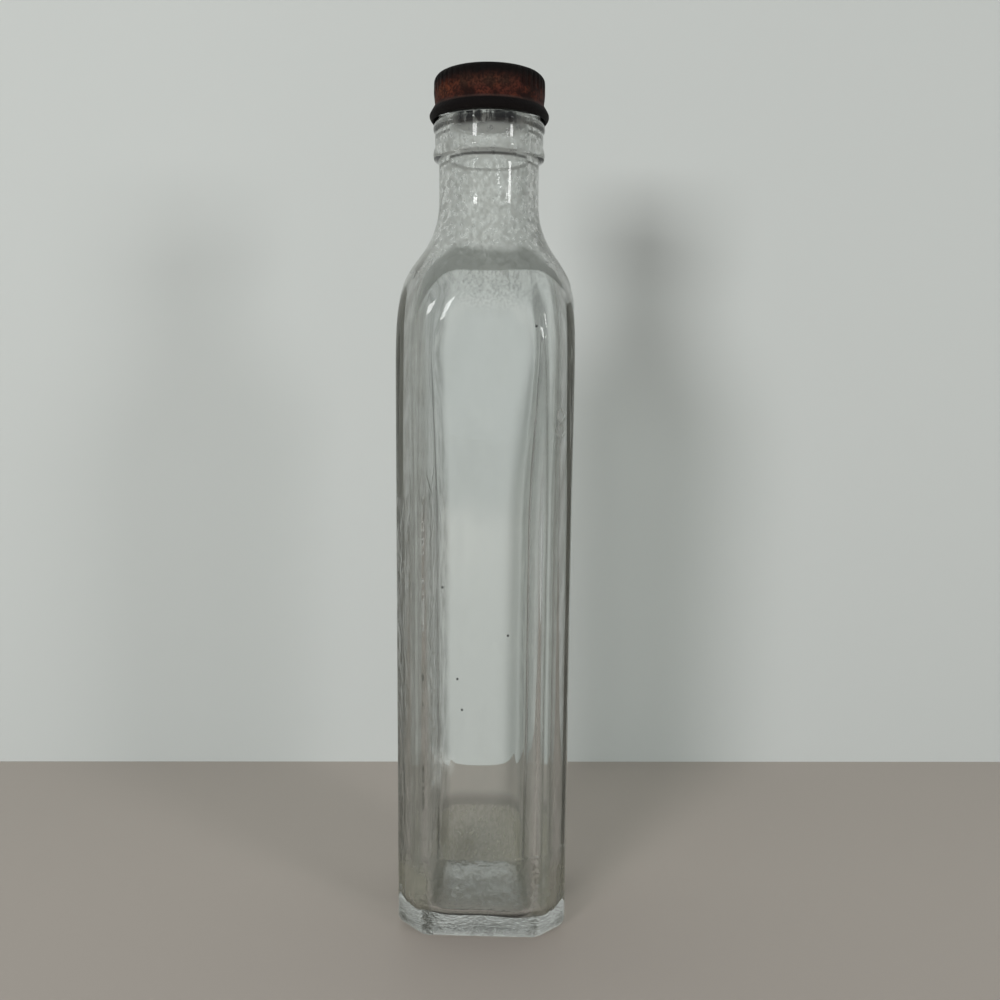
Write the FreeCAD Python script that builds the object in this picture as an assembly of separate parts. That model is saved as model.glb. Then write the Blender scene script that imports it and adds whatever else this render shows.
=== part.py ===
import FreeCAD, Part
import math
import os

# An empty square glass bottle with bevelled corners, closed by a rusted metal screw cap.
# Units are millimetres. Z is up, the origin is the middle of the face the bottle stands on,
# and -Y is the front.

# ---- driving dimensions of the glass ----
TOTAL_HEIGHT = 223.0  # from the table to the top of the cap
BODY_WIDTH_TOP = 45.3  # across the flats, just under the shoulder
BODY_WIDTH_BASE = 44.5  # across the flats, just above the heel
BEVEL_LEG = 6.8  # how far each corner bevel cuts into a flat face
HEEL_RISE = 3.0  # the round between the walls and the base goes up this far
HEEL_REACH = 2.0  # and this far in from a flat face
HEEL_CORNER = 6.0  # round corners of the outline where the heel meets the base
SHOULDER_START = 150.0  # up to here the walls are straight
NECK_START = 191.0  # here the shoulder has become a round neck
NECK_RADIUS = 13.05
SHOULDER_ARC = 21.6  # hollow curve where the shoulder runs up into the neck
SHOULDER_SLOPE = 0.85  # widening per millimetre below that curve
BLEND_POWER = 8.0  # how tightly the shoulder turns into the walls
CORNER_RADIUS = 2.5  # round between a flat face and a bevel

WALL = 3.0
BEVEL_WALL = 4.9  # the glass is thicker behind the bevels
BASE_THICKNESS = 4.5
INNER_HEEL_RADIUS = 4.0
# the glass set thicker behind, where the floor inside curves up to the back wall:
# points of that curve as (distance before the wall, height above the floor)
SLOPE_FOOT = (5.5, 0.0)
SLOPE_WAIST = (1.6, 6.0)
SLOPE_HEAD = (-0.3, 18.0)
INNER_CORNER_RADIUS = 12.8
PUSH_UP_DEPTH = 0.8  # hollow under the base, inside the ring that the bottle stands on
PUSH_UP_RADIUS = 15.0

# ---- collar and finish, the moulded rings of the mouth ----
COLLAR_BOTTOM = 201.5
COLLAR_WAIST_RADIUS = 14.1
LOWER_RIDGE_TOP = 204.9
UPPER_RIDGE_BOTTOM = 208.5
UPPER_RIDGE_TOP = 211.1
RIDGE_SWELL = 0.45  # how far the two ridges stand out from the waist between them
FINISH_BOTTOM = 211.7
FINISH_RADIUS = 13.3
LIP_BEVEL = 0.6
MOUTH_RADIUS = 10.5

# ---- raised ornament on the left face, and the small marks on a front bevel ----
RELIEF = 0.5
ROOT = 1.0  # how deep each raised shape and the collar are rooted in what carries them
ORNAMENT_BOTTOM = 30.0
ORNAMENT_PITCH = 11.0
ORNAMENT_REPEATS = 8
LOZENGE_WIDTH = 9.0
LOZENGE_HEIGHT = 5.0
BAR_LENGTH = 8.0
BAR_WIDTH = 1.2
BAR_TILT = 35.0  # degrees from level
BAR_SPREAD = 3.9  # from the middle of the face to the middle of a bar
MARK_HEIGHTS = (132.5, 136.5)
MARK_SIZE = 2.6

# ---- driving dimensions of the cap ----
CAP_SKIN = 0.5
CAP_RADIUS = 14.4
CAP_EDGE_RADIUS = 1.6  # round between the top and the skirt
SKIRT_WAIST_RADIUS = 14.15
SKIRT_WAIST_HEIGHT = 215.6
BAND_FOOT = 218.2  # the upright band of the skirt ends here and narrows to the waist
BEAD_TOP = 213.6
BEAD_TOP_RADIUS = 15.3
BEAD_FOOT_RADIUS = 14.9
BEAD_SWELL = 0.4  # how far the bead stands out between its top and its foot
BEAD_INNER_RADIUS = 14.5
CAP_BOTTOM = 211.6
FLUTES = 48
FLUTE_RADIUS = 0.55
FLUTE_DEPTH = 0.25
FLUTE_BOTTOM = 217.6

LIP_HEIGHT = TOTAL_HEIGHT - CAP_SKIN  # the cap's top lies on the glass lip
TURN = 45.0  # degrees from one side of the eight-sided section to the next
ROUND_FROM = 182.0  # above this the outline is as good as a circle
NEARLY_ROUND = 0.97  # leaves a sliver of each flat, so that every outline has the same edges
HEEL_STEPS = 4
SHOULDER_STEPS = 12
JOIN_TOLERANCE = 0.01  # neighbouring lofts share their edges to within this


# ---- sections of the body ----
def direction(angle):
    """A level unit vector at an angle in degrees from +X."""
    return FreeCAD.Vector(math.cos(math.radians(angle)), math.sin(math.radians(angle)), 0)


def blend(wall, shoulder):
    """The smaller of two distances, with a smooth change from one to the other."""
    return (wall**-BLEND_POWER + shoulder**-BLEND_POWER) ** (-1.0 / BLEND_POWER)


def shoulder_radius(height):
    """Radius of the round shoulder before the body's flat sides cut it."""
    drop = NECK_START - height
    if drop <= 0:
        return NECK_RADIUS
    slope_angle = math.atan(SHOULDER_SLOPE)
    arc_drop = SHOULDER_ARC * math.sin(slope_angle)
    if drop < arc_drop:
        return NECK_RADIUS + SHOULDER_ARC - math.sqrt(SHOULDER_ARC**2 - drop**2)
    arc_growth = SHOULDER_ARC * (1 - math.cos(slope_angle))
    return NECK_RADIUS + arc_growth + SHOULDER_SLOPE * (drop - arc_drop)


def half_width(height):
    """Half of the body's width across the flats, without the shoulder."""
    share = height / SHOULDER_START
    return (BODY_WIDTH_BASE + (BODY_WIDTH_TOP - BODY_WIDTH_BASE) * share) / 2


def bevel_distance(face_distance):
    """Distance from the axis to a bevel's plane."""
    return (2 * face_distance - BEVEL_LEG) / math.sqrt(2)


def smooth_step(low, high, value):
    share = min(max((value - low) / (high - low), 0.0), 1.0)
    return share * share * (3 - 2 * share)


def section(height, face, bevel, corner):
    """A closed eight-sided outline: flats, bevels, and an arc of radius corner between each pair."""
    face_half = math.sqrt(2) * bevel - face
    bevel_half = math.sqrt(2) * face - bevel
    trim = corner * math.tan(math.radians(TURN / 2))
    edges = []
    for side in range(8):
        away, half = (face, face_half) if side % 2 == 0 else (bevel, bevel_half)
        out = direction(side * TURN)
        along = direction((side + 2) * TURN)
        lift = FreeCAD.Vector(0, 0, height)
        start = out * away - along * (half - trim) + lift
        end = out * away + along * (half - trim) + lift
        centre = end - out * corner
        middle = centre + direction((side + 0.5) * TURN) * corner
        arc_end = centre + direction((side + 1) * TURN) * corner
        edges.append(Part.LineSegment(start, end).toShape())
        edges.append(Part.Arc(end, middle, arc_end).toShape())
    return Part.Wire(edges)


def roundest_corner(face, bevel):
    """The arc radius that would use up the shorter of the flats and the bevels."""
    face_half = math.sqrt(2) * bevel - face
    bevel_half = math.sqrt(2) * face - bevel
    return min(face_half, bevel_half) / math.tan(math.radians(TURN / 2))


def body_section(height, inset, bevel_inset, corner):
    """The body's outline at a height, moved inwards by inset, and by bevel_inset at the bevels."""
    wall = half_width(height)
    round_radius = shoulder_radius(height)
    face = blend(wall, round_radius) - inset
    neck_share = smooth_step(SHOULDER_START, NECK_START, height)
    extra = (bevel_inset - inset) * (1 - neck_share)
    bevel = blend(bevel_distance(wall), round_radius) - inset - extra
    roundness = smooth_step(SHOULDER_START, ROUND_FROM, height)
    roundest = NEARLY_ROUND * roundest_corner(face, bevel)
    corner += (roundest - corner) * roundness
    return section(height, face, bevel, min(corner, roundest))


def heel_sections(floor, rise, reach, inset, bevel_inset, corner, floor_corner):
    """Outlines that follow a quarter of an ellipse from the floor up into the walls."""
    wall = half_width(floor + rise)
    face = wall - inset
    bevel = bevel_distance(wall) - bevel_inset
    wires = []
    for step in range(HEEL_STEPS + 1):
        angle = math.radians(90.0 * step / HEEL_STEPS)
        height = floor + rise * (1 - math.cos(angle))
        lowness = 1 - math.sin(angle)
        shrink = 1 - lowness * reach / face
        bend = corner * shrink + (floor_corner - corner * shrink) * lowness
        wires.append(section(height, face * shrink, bevel * shrink, bend))
    return wires


def hollow_form(floor, heel, inset, bevel_inset, corner, top):
    """One closed form from the floor to the top: heel, straight walls, shoulder and neck.

    The heel is how far its round goes up and in, and its corner radius at the floor.
    """
    rise, reach, floor_corner = heel

    def loft_between(heights, straight):
        wires = [body_section(height, inset, bevel_inset, corner) for height in heights]
        return Part.makeLoft(wires, True, straight)

    heel_wires = heel_sections(floor, rise, reach, inset, bevel_inset, corner, floor_corner)
    bottom = Part.makeLoft(heel_wires, True, False)
    walls = loft_between((floor + rise, SHOULDER_START), True)
    spacing = (NECK_START - SHOULDER_START) / SHOULDER_STEPS
    heights = [SHOULDER_START + spacing * step for step in range(SHOULDER_STEPS + 1)]
    shoulder = loft_between(heights, False)
    neck = loft_between((NECK_START, top), True)
    return bottom.fuse([walls, shoulder, neck], JOIN_TOLERANCE).removeSplitter().Solids[0]


# ---- revolved and raised shapes ----
def revolved(edges):
    """A solid of revolution from a closed outline in the XZ plane."""
    face = Part.Face(Part.Wire(edges))
    return face.revolve(FreeCAD.Vector(0, 0, 0), FreeCAD.Vector(0, 0, 1), 360)


def outline(corners):
    """Edges through (radius, height) corners; a (radius, height, bulge) corner bends the edge before it.

    The bulge is how far the middle of that edge stands out to its left.
    """
    edges = []
    for here, there in zip(corners, corners[1:] + corners[:1]):
        start = FreeCAD.Vector(here[0], 0, here[1])
        end = FreeCAD.Vector(there[0], 0, there[1])
        if len(there) == 2:
            edges.append(Part.LineSegment(start, end).toShape())
            continue
        left = FreeCAD.Vector(start.z - end.z, 0, end.x - start.x).normalize()
        middle = (start + end) * 0.5 + left * there[2]
        edges.append(Part.Arc(start, middle, end).toShape())
    return edges


def raised(points, plane_at, turn):
    """A raised flat shape on a wall: points are (across, height), turn is the wall's direction."""
    out = direction(turn)
    along = direction(turn + 90)
    foot = [out * (plane_at(z) - ROOT) + along * across + FreeCAD.Vector(0, 0, z) for across, z in points]
    face = Part.Face(Part.makePolygon(foot + foot[:1]))
    return face.extrude(out * (ROOT + RELIEF))


def lozenge(across, height, width, tall):
    """Four (across, height) corners of a lozenge about a middle point."""
    half_wide, half_tall = width / 2, tall / 2
    return [
        (across - half_wide, height),
        (across, height + half_tall),
        (across + half_wide, height),
        (across, height - half_tall),
    ]


def bar(across, height, length, width, tilt):
    """Four (across, height) corners of a tilted bar about a middle point."""
    cos, sin = math.cos(math.radians(tilt)), math.sin(math.radians(tilt))
    along, beside = length / 2, width / 2
    box = [(-along, -beside), (along, -beside), (along, beside), (-along, beside)]
    return [(across + x * cos - y * sin, height + x * sin + y * cos) for x, y in box]


# ---- the glass bottle ----
def collar_and_finish():
    """The ringed collar under the cap, and the plain mouth that the cap covers."""
    corners = [
        (0, COLLAR_BOTTOM),
        (COLLAR_WAIST_RADIUS, COLLAR_BOTTOM),
        (COLLAR_WAIST_RADIUS, LOWER_RIDGE_TOP, -RIDGE_SWELL),
        (COLLAR_WAIST_RADIUS, UPPER_RIDGE_BOTTOM),
        (COLLAR_WAIST_RADIUS, UPPER_RIDGE_TOP, -RIDGE_SWELL),
        (FINISH_RADIUS, FINISH_BOTTOM),
        (FINISH_RADIUS, LIP_HEIGHT - LIP_BEVEL),
        (FINISH_RADIUS - LIP_BEVEL, LIP_HEIGHT),
        (0, LIP_HEIGHT),
    ]
    return revolved(outline(corners))


def ornament():
    """A column of lozenges between pairs of tilted bars, raised on the left face."""
    shapes = []
    for repeat in range(ORNAMENT_REPEATS):
        middle = ORNAMENT_BOTTOM + (repeat + 0.5) * ORNAMENT_PITCH
        shapes.append(raised(lozenge(0, middle, LOZENGE_WIDTH, LOZENGE_HEIGHT), half_width, 180))
        for side in (-1, 1):
            joint = middle + ORNAMENT_PITCH / 2
            tilted = bar(side * BAR_SPREAD, joint, BAR_LENGTH, BAR_WIDTH, side * BAR_TILT)
            shapes.append(raised(tilted, half_width, 180))
    return shapes


def bevel_marks():
    """Two small raised lozenges, one above the other, on the front bevel at the right."""
    return [
        raised(lozenge(0, height, MARK_SIZE, MARK_SIZE), lambda z: bevel_distance(half_width(z)), -TURN)
        for height in MARK_HEIGHTS
    ]


def floor_slope(inner_half):
    """The extra glass on the floor behind, with its hollow face to the front."""
    places = [
        FreeCAD.Vector(-BODY_WIDTH_BASE, inner_half - before, BASE_THICKNESS + height)
        for before, height in (SLOPE_FOOT, SLOPE_WAIST, SLOPE_HEAD)
    ]
    foot, waist, head = places
    below = FreeCAD.Vector(-BODY_WIDTH_BASE, head.y, foot.z)
    curve = Part.Arc(foot, waist, head).toShape()
    end = Part.Face(Part.Wire([curve, Part.makePolygon([head, below, foot])]))
    return end.extrude(FreeCAD.Vector(2 * BODY_WIDTH_BASE, 0, 0))


def glass_bottle():
    top = COLLAR_BOTTOM + ROOT
    heel = (HEEL_RISE, HEEL_REACH, HEEL_CORNER)
    outside = hollow_form(0.0, heel, 0.0, 0.0, CORNER_RADIUS, top)
    outside = outside.fuse([collar_and_finish()] + ornament() + bevel_marks())
    inner_half = BODY_WIDTH_BASE / 2 - WALL
    inner_floor_corner = INNER_CORNER_RADIUS * (1 - INNER_HEEL_RADIUS / inner_half)
    inner_heel = (INNER_HEEL_RADIUS, INNER_HEEL_RADIUS, inner_floor_corner)
    inside = hollow_form(BASE_THICKNESS, inner_heel, WALL, BEVEL_WALL, INNER_CORNER_RADIUS, top)
    inside = inside.cut(floor_slope(inner_half))
    mouth_height = TOTAL_HEIGHT - COLLAR_BOTTOM
    mouth = Part.makeCylinder(MOUTH_RADIUS, mouth_height, FreeCAD.Vector(0, 0, COLLAR_BOTTOM))
    ball_radius = (PUSH_UP_RADIUS**2 + PUSH_UP_DEPTH**2) / (2 * PUSH_UP_DEPTH)
    push_up = Part.makeSphere(ball_radius, FreeCAD.Vector(0, 0, PUSH_UP_DEPTH - ball_radius))
    return outside.cut([inside, mouth, push_up]).removeSplitter()


# ---- the metal cap ----
def cap_shell():
    """A thin pressed cap: flat top, rounded edge, slightly waisted skirt, rolled bead at the foot."""
    inner_radius = CAP_RADIUS - CAP_SKIN
    inner_edge = CAP_EDGE_RADIUS - CAP_SKIN
    edge_bulge = CAP_EDGE_RADIUS * (1 - math.sqrt(0.5))
    corners = [
        (0, TOTAL_HEIGHT),
        (CAP_RADIUS - CAP_EDGE_RADIUS, TOTAL_HEIGHT),
        (CAP_RADIUS, TOTAL_HEIGHT - CAP_EDGE_RADIUS, edge_bulge),
        (CAP_RADIUS, BAND_FOOT),
        (SKIRT_WAIST_RADIUS, SKIRT_WAIST_HEIGHT),
        (BEAD_TOP_RADIUS, BEAD_TOP),
        (BEAD_FOOT_RADIUS, CAP_BOTTOM, BEAD_SWELL),
        (BEAD_INNER_RADIUS, CAP_BOTTOM),
        (SKIRT_WAIST_RADIUS - CAP_SKIN, SKIRT_WAIST_HEIGHT),
        (inner_radius, BAND_FOOT),
        (inner_radius, LIP_HEIGHT - inner_edge),
        (inner_radius - inner_edge, LIP_HEIGHT),
        (0, LIP_HEIGHT),
    ]
    return revolved(outline(corners))


def fluted_cap():
    """The cap with upright flutes pressed into the upper part of its skirt."""
    reach = CAP_RADIUS + FLUTE_RADIUS - FLUTE_DEPTH
    length = TOTAL_HEIGHT - FLUTE_BOTTOM + FLUTE_RADIUS
    flutes = []
    for number in range(FLUTES):
        foot = direction(360.0 * number / FLUTES) * reach + FreeCAD.Vector(0, 0, FLUTE_BOTTOM)
        flutes.append(Part.makeCylinder(FLUTE_RADIUS, length, foot))
    return cap_shell().cut(flutes)


os.makedirs("parts", exist_ok=True)
for name, shape in (("bottle", glass_bottle()), ("cap", fluted_cap())):
    box = shape.optimalBoundingBox()
    size = f"{box.XLength:.2f} x {box.YLength:.2f} x {box.ZLength:.2f} mm"
    print(name, "valid" if shape.isValid() else "BROKEN", len(shape.Solids), "solid", size)
    print(f"  {shape.Volume:.0f} mm3, from {box.ZMin:.2f} to {box.ZMax:.2f} mm high")
    shape.exportStep(f"parts/{name}.step")
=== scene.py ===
# %% [markdown]
# # An old square bottle of clear glass, with a rusted screw cap
# The bottle is moulded glass: a square body with bevelled corners, sloping shoulders, a round
# neck and a ringed collar. Inside, the hollow is rounder than the outside, so the glass is
# thick behind every corner. That difference is what bends the light into the bands and lines
# that make clear glass look like glass, so both skins are modelled, as one closed mesh.
#
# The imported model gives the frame: what it says about size and place is kept.

import math

import bmesh
import bpy
from mathutils import Matrix, Vector, noise


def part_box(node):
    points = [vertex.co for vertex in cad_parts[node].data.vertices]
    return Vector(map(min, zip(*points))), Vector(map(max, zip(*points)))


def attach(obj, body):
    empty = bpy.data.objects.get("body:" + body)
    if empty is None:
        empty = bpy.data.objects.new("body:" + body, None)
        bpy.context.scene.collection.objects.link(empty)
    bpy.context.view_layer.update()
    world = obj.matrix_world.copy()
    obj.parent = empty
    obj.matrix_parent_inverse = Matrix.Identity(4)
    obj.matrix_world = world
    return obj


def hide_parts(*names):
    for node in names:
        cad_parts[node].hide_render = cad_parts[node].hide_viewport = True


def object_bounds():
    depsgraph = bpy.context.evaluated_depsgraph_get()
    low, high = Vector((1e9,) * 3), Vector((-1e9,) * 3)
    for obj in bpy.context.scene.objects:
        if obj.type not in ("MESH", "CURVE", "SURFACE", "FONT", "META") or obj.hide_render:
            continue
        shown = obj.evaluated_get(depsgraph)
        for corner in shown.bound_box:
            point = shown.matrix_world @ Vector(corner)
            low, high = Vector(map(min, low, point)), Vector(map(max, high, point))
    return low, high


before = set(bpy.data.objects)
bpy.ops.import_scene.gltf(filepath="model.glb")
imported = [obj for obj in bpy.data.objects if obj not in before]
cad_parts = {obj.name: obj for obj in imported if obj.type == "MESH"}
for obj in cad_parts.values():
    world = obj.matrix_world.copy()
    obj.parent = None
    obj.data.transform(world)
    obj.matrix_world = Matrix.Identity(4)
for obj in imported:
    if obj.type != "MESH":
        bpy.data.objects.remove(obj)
cad_low, cad_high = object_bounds()
print("model box in metres:", tuple(cad_low), tuple(cad_high))

# %% [markdown]
# ## Units and sizes
# Bottles are drawn in millimetres, so the meshes are built in millimetres and scaled to
# metres when they become objects. The heights that other pieces share come from the frame:
# where the glass lip ends, and where the cap starts and stops.

# %% Sizes of the glass
MM = 0.001
lip_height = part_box("bottle")[1].z / MM
cap_low, cap_high = (corner.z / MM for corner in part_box("cap"))

BODY_WIDTH_TOP = 45.3
BODY_WIDTH_BASE = 44.5
BEVEL_LEG = 6.8
CORNER_RADIUS = 2.5
SHOULDER_START = 150.0
ROUND_FROM = 182.0
NECK_START = 191.0
NECK_RADIUS = 13.05
SHOULDER_ARC = 21.6
SHOULDER_SLOPE = 0.85
BLEND_POWER = 8.0
COLLAR_BOTTOM = 201.5
COLLAR_RADIUS = 14.1
FINISH_RADIUS = 13.3
print(f"lip at {lip_height:.1f} mm, cap from {cap_low:.1f} to {cap_high:.1f} mm")

# %% [markdown]
# ## The outline of the body
# Seen from above, the body is a square whose corners are bevelled: eight sides, four wide and
# four narrow, with a small round between each pair. Going up the shoulder, the rounds grow
# until the outline is a circle. One function gives the distance from the axis to the outline
# in any direction, so every ring of the mesh keeps the same vertices at the same angles, and
# the edges that run up the body stay smooth.

# %% The outline as a distance from the axis
EIGHTH = math.tau / 8
NEARLY_ROUND = 0.99


def smooth_step(low, high, value):
    share = min(max((value - low) / (high - low), 0.0), 1.0)
    return share * share * (3 - 2 * share)


def outline_distance(angle, face, bevel, corner):
    """Distance from the axis to a rounded eight-sided outline, in one direction."""
    turn = abs((angle + EIGHTH) % (2 * EIGHTH) - EIGHTH)
    trim = corner * math.tan(EIGHTH / 2)
    face_half = math.sqrt(2) * bevel - face - trim
    bevel_half = math.sqrt(2) * face - bevel - trim
    if turn <= math.atan2(face_half, face):
        return face / math.cos(turn)
    if turn >= EIGHTH - math.atan2(bevel_half, bevel):
        return bevel / math.cos(EIGHTH - turn)
    middle = Vector((face - corner, face_half))
    ahead = middle.dot(Vector((math.cos(turn), math.sin(turn))))
    return ahead + math.sqrt(ahead**2 - middle.length_squared + corner**2)


def half_width(height):
    share = min(height / SHOULDER_START, 1.0)
    return (BODY_WIDTH_BASE + (BODY_WIDTH_TOP - BODY_WIDTH_BASE) * share) / 2


def bevel_distance(face):
    return (2 * face - BEVEL_LEG) / math.sqrt(2)


def shoulder_radius(height):
    """Radius of the round shoulder: straight slope below, hollow curve into the neck above."""
    drop = max(NECK_START - height, 0.0)
    slope_angle = math.atan(SHOULDER_SLOPE)
    arc_drop = SHOULDER_ARC * math.sin(slope_angle)
    if drop < arc_drop:
        return NECK_RADIUS + SHOULDER_ARC - math.sqrt(SHOULDER_ARC**2 - drop**2)
    arc_reach = SHOULDER_ARC * (1 - math.cos(slope_angle))
    return NECK_RADIUS + arc_reach + SHOULDER_SLOPE * (drop - arc_drop)


def blend(wall, shoulder):
    return (wall**-BLEND_POWER + shoulder**-BLEND_POWER) ** (-1 / BLEND_POWER)


def outer_distance(angle, height):
    """Distance from the axis to the outside of the glass, from the heel up to the neck."""
    wall = half_width(height)
    face = blend(wall, shoulder_radius(height))
    bevel = blend(bevel_distance(wall), shoulder_radius(height))
    roundest = (math.sqrt(2) * face - bevel) / math.tan(EIGHTH / 2)
    roundness = smooth_step(SHOULDER_START, ROUND_FROM, height)
    corner = CORNER_RADIUS + (NEARLY_ROUND * roundest - CORNER_RADIUS) * roundness
    return outline_distance(angle, face, bevel, corner)


for name, angle in (("face", 0.0), ("bevel", EIGHTH)):
    print(name, [round(outer_distance(angle, h), 1) for h in (10, 80, 150, 165, 175, 185)])

# %% [markdown]
# ## Rings that carry the same vertices
# The glass is drawn as a stack of rings. Each vertex keeps one angle all the way up, so the
# angles are chosen where they matter: close together round the corners, and close together
# on the left face and one bevel, where raised shapes need them. An extra vertex just inside
# each edge of a flat keeps the flat's shading flat.

# %% Angles of the vertices in a ring
LEFT_SIDE = 4
MARKED_BEVEL = 7
FLAT_SHARES = (-1, -0.95, -0.75, -0.5, -0.25, 0, 0.25, 0.5, 0.75, 0.95)
ORNAMENT_SHARE = 0.56
ORNAMENT_STEPS = 46
MARK_SHARE = 0.8
MARK_STEPS = 18
CORNER_STEPS = 6


def fine_shares(reach, steps):
    """Shares of a flat's half width, close together within reach and sparse outside it."""
    inner = [reach * (2 * step / steps - 1) for step in range(steps + 1)]
    return [-1, -0.95, -(1 + reach) / 2, *inner, (1 + reach) / 2, 0.95]


def ring_angles():
    """Angles round the body, side by side: the flat part, then the round corner after it."""
    face = half_width(SHOULDER_START / 2)
    bevel = bevel_distance(face)
    trim = CORNER_RADIUS * math.tan(EIGHTH / 2)
    halves = (math.sqrt(2) * bevel - face - trim, math.sqrt(2) * face - bevel - trim)
    angles = []
    for side in range(8):
        reach, half = ((face, halves[0]), (bevel, halves[1]))[side % 2]
        next_reach, next_half = ((face, halves[0]), (bevel, halves[1]))[(side + 1) % 2]
        shares = FLAT_SHARES
        if side == LEFT_SIDE:
            shares = fine_shares(ORNAMENT_SHARE, ORNAMENT_STEPS)
        if side == MARKED_BEVEL:
            shares = fine_shares(MARK_SHARE, MARK_STEPS)
        angles += [side * EIGHTH + math.atan2(share * half, reach) for share in shares]
        start = side * EIGHTH + math.atan2(half, reach)
        end = (side + 1) * EIGHTH - math.atan2(next_half, next_reach)
        angles += [start + (end - start) * step / CORNER_STEPS for step in range(CORNER_STEPS)]
    return angles


RING = ring_angles()
print(len(RING), "vertices in a ring")


def begin_ring(mesh, place):
    """The first ring: a circle whose vertices remember their number and move to their place."""
    number = mesh.verts.layers.int.new("number")
    made = bmesh.ops.create_circle(mesh, segments=len(RING), radius=1.0)["verts"]
    for index, vertex in enumerate(made):
        vertex[number] = index
        vertex.co = place(RING[index])
    return mesh.edges[:]


def grow_ring(mesh, edges, place):
    """The next ring: the last one is extruded, and its new vertices move to their place."""
    number = mesh.verts.layers.int["number"]
    grown = bmesh.ops.extrude_edge_only(mesh, edges=edges)["geom"]
    fresh = {item for item in grown if isinstance(item, bmesh.types.BMVert)}
    for vertex in fresh:
        vertex.co = place(RING[vertex[number]])
    rim = [item for item in grown if isinstance(item, bmesh.types.BMEdge)]
    return [edge for edge in rim if edge.verts[0] in fresh and edge.verts[1] in fresh]


def close_ring(mesh, edges, point):
    """Draws a last ring together into one point, which closes the end."""
    last = grow_ring(mesh, edges, lambda angle: point)
    ends = list({vertex for edge in last for vertex in edge.verts})
    bmesh.ops.pointmerge(mesh, verts=ends, merge_co=point)


def at_angle(reach, angle, height):
    return Vector((reach * math.cos(angle), reach * math.sin(angle), height))


def level_ring(distance, height):
    """A place function for a ring at one height; distance gives the reach at an angle."""
    return lambda angle: at_angle(distance(angle), angle, height)


def round_ring(reach, height):
    """A place function for a circle."""
    return level_ring(lambda angle: reach, height)


def add_object(name, data):
    """An object with that data, linked to the scene."""
    made = bpy.data.objects.new(name, data)
    bpy.context.scene.collection.objects.link(made)
    return made


def make_object(name, mesh):
    """Turns a bmesh in millimetres into an object in metres, with its faces pointing out."""
    bmesh.ops.recalc_face_normals(mesh, faces=mesh.faces)
    bmesh.ops.scale(mesh, vec=(MM, MM, MM), verts=mesh.verts)
    data = bpy.data.meshes.new(name)
    mesh.to_mesh(data)
    mesh.free()
    data.shade_smooth()
    print(name, len(data.polygons), "faces")
    return add_object(name, data)


# %% [markdown]
# ## The raised ornament
# The left face carries a raised column of plain lozenges between pairs of tilted bars, and a
# front bevel has two small lozenges. In the mould they are shallow cuts with soft edges. Here
# each is a distance to a shape, turned into a height that rises softly at its rim, and the
# wall's vertices move out by that height.

# %% Relief on the walls
RELIEF = 0.5
RELIEF_SOFTNESS = 0.5
ORNAMENT_BOTTOM = 30.0
ORNAMENT_PITCH = 11.0
ORNAMENT_REPEATS = 8
ORNAMENT_TOP = ORNAMENT_BOTTOM + (ORNAMENT_REPEATS + 0.3) * ORNAMENT_PITCH
LOZENGE_SIZE = (9.0, 5.0)
BAR_SIZE = (8.0, 1.2)
BAR_TILT = math.radians(35)
BAR_SPREAD = 3.9
MARK_HEIGHTS = (132.5, 136.5)
MARK_SIZE = (2.6, 2.6)


def lozenge_inside(across, up, size):
    """How far a point lies inside a lozenge about the origin; negative outside."""
    half_wide, half_tall = size[0] / 2, size[1] / 2
    spare = 1 - abs(across) / half_wide - abs(up) / half_tall
    return spare * half_wide * half_tall / math.hypot(half_wide, half_tall)


def bar_inside(across, up, size, tilt):
    """How far a point lies inside a tilted bar about the origin; negative outside."""
    along = across * math.cos(tilt) + up * math.sin(tilt)
    beside = up * math.cos(tilt) - across * math.sin(tilt)
    return min(size[0] / 2 - abs(along), size[1] / 2 - abs(beside))


def ornament_inside(across, height):
    """How far a point of the left face lies inside the nearest lozenge or bar."""
    repeat = round((height - ORNAMENT_BOTTOM) / ORNAMENT_PITCH - 0.5)
    repeat = min(max(repeat, 0), ORNAMENT_REPEATS - 1)
    middle = ORNAMENT_BOTTOM + (repeat + 0.5) * ORNAMENT_PITCH
    inside = lozenge_inside(across, height - middle, LOZENGE_SIZE)
    joints = [middle + ORNAMENT_PITCH / 2]
    if repeat > 0:
        joints.append(middle - ORNAMENT_PITCH / 2)
    for joint in joints:
        for side in (-1, 1):
            bar = bar_inside(across - side * BAR_SPREAD, height - joint, BAR_SIZE, side * BAR_TILT)
            inside = max(inside, bar)
    return inside


def marks_inside(across, height):
    return max(lozenge_inside(across, height - middle, MARK_SIZE) for middle in MARK_HEIGHTS)


def raised(angle, height, reach):
    """The step outwards that the raised shapes add at a point of the wall."""
    for side, inside in ((LEFT_SIDE, ornament_inside), (MARKED_BEVEL, marks_inside)):
        turn = angle - side * EIGHTH
        if abs(turn) < EIGHTH / 2:
            depth = inside(-reach * math.sin(turn), height)
            rise = RELIEF * smooth_step(-RELIEF_SOFTNESS / 2, RELIEF_SOFTNESS / 2, depth)
            return Vector((math.cos(side * EIGHTH), math.sin(side * EIGHTH), 0)) * rise
    return Vector()


# %% [markdown]
# ## The hollow inside
# A bottle like this is blown against its mould. The outside takes the mould's sharp bevels,
# and the inside stays much rounder, because the glass is thickest where it travelled least.
# So the inner outline is a square with large round corners, smaller ones near the shoulder.
# The corners on the right are the thicker ones here, and the walls wander a little.

# %% The inner skin
WALL = 3.0
LEFT_CORNER, RIGHT_CORNER = 12.2, 14.4
HIGH_CORNER = 7.5
CORNER_CHANGE = (105.0, 168.0)
BORE_RANGE = (NECK_START + 4, COLLAR_BOTTOM + 2)
MOUTH_RADIUS = 10.5
RIPPLE = 0.16
RIPPLE_SCALE = Vector((0.07, 0.07, 0.03))


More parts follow.
